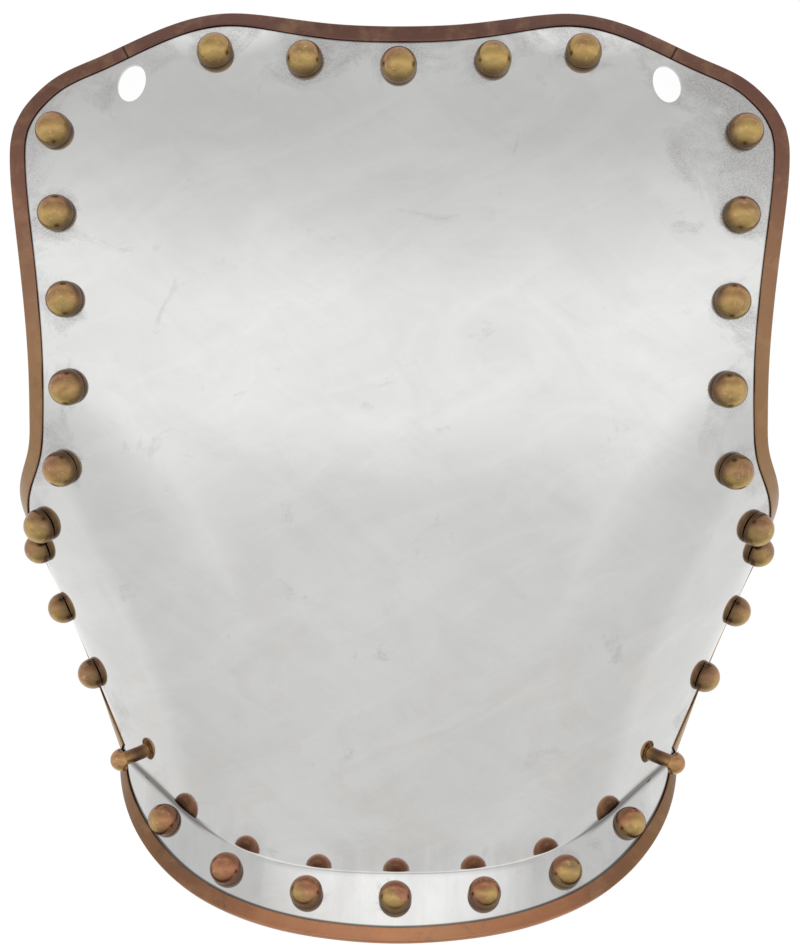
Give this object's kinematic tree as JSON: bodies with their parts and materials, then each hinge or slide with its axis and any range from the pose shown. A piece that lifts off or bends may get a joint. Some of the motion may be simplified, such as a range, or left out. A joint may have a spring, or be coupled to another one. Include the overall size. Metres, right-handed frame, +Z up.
{
  "type": "cuirass backplate",
  "caption": "Polished steel back plate of a parade cuirass with a flared waist skirt, folded brass edge binding, domed brass rivets, strap holes and belt posts.",
  "frame": {"origin": "centre of the bounding box's base, with the plate lying on its hollow side", "axes": "+X to the wearer's right as the plate lies, +Y towards the neck, +Z up, out of the back"},
  "size_m": [0.3738, 0.4118, 0.147],
  "materials": {
    "polished_steel": "mirror polish with faint hand-rubbed scratches",
    "binding_brass": "satin, tarnished to a pinkish brown",
    "rivet_brass": "satin, tarnished golden brown with pits",
    "post_brass": "satin, tarnished"
  },
  "bodies": {
    "root": {"backplate": "polished_steel", "neck_binding": "binding_brass", "right_side_binding": "binding_brass", "left_side_binding": "binding_brass", "skirt_binding": "binding_brass", "neck_rivet_01": "rivet_brass", "neck_rivet_02": "rivet_brass", "neck_rivet_03": "rivet_brass", "neck_rivet_04": "rivet_brass", "neck_rivet_05": "rivet_brass", "right_armhole_rivet_01": "rivet_brass", "right_armhole_rivet_02": "rivet_brass", "right_armhole_rivet_03": "rivet_brass", "right_armhole_rivet_04": "rivet_brass", "right_armhole_rivet_05": "rivet_brass", "right_armhole_rivet_06": "rivet_brass", "right_flank_rivet_01": "rivet_brass", "right_flank_rivet_02": "rivet_brass", "right_flank_rivet_03": "rivet_brass", "left_armhole_rivet_01": "rivet_brass", "left_armhole_rivet_02": "rivet_brass", "left_armhole_rivet_03": "rivet_brass", "left_armhole_rivet_04": "rivet_brass", "left_armhole_rivet_05": "rivet_brass", "left_armhole_rivet_06": "rivet_brass", "left_flank_rivet_01": "rivet_brass", "left_flank_rivet_02": "rivet_brass", "left_flank_rivet_03": "rivet_brass", "skirt_rivet_01": "rivet_brass", "skirt_rivet_02": "rivet_brass", "skirt_rivet_03": "rivet_brass", "skirt_rivet_04": "rivet_brass", "skirt_rivet_05": "rivet_brass", "skirt_rivet_06": "rivet_brass", "skirt_rivet_07": "rivet_brass", "right_belt_post": "post_brass", "left_belt_post": "post_brass"}
  },
  "joints": []
}
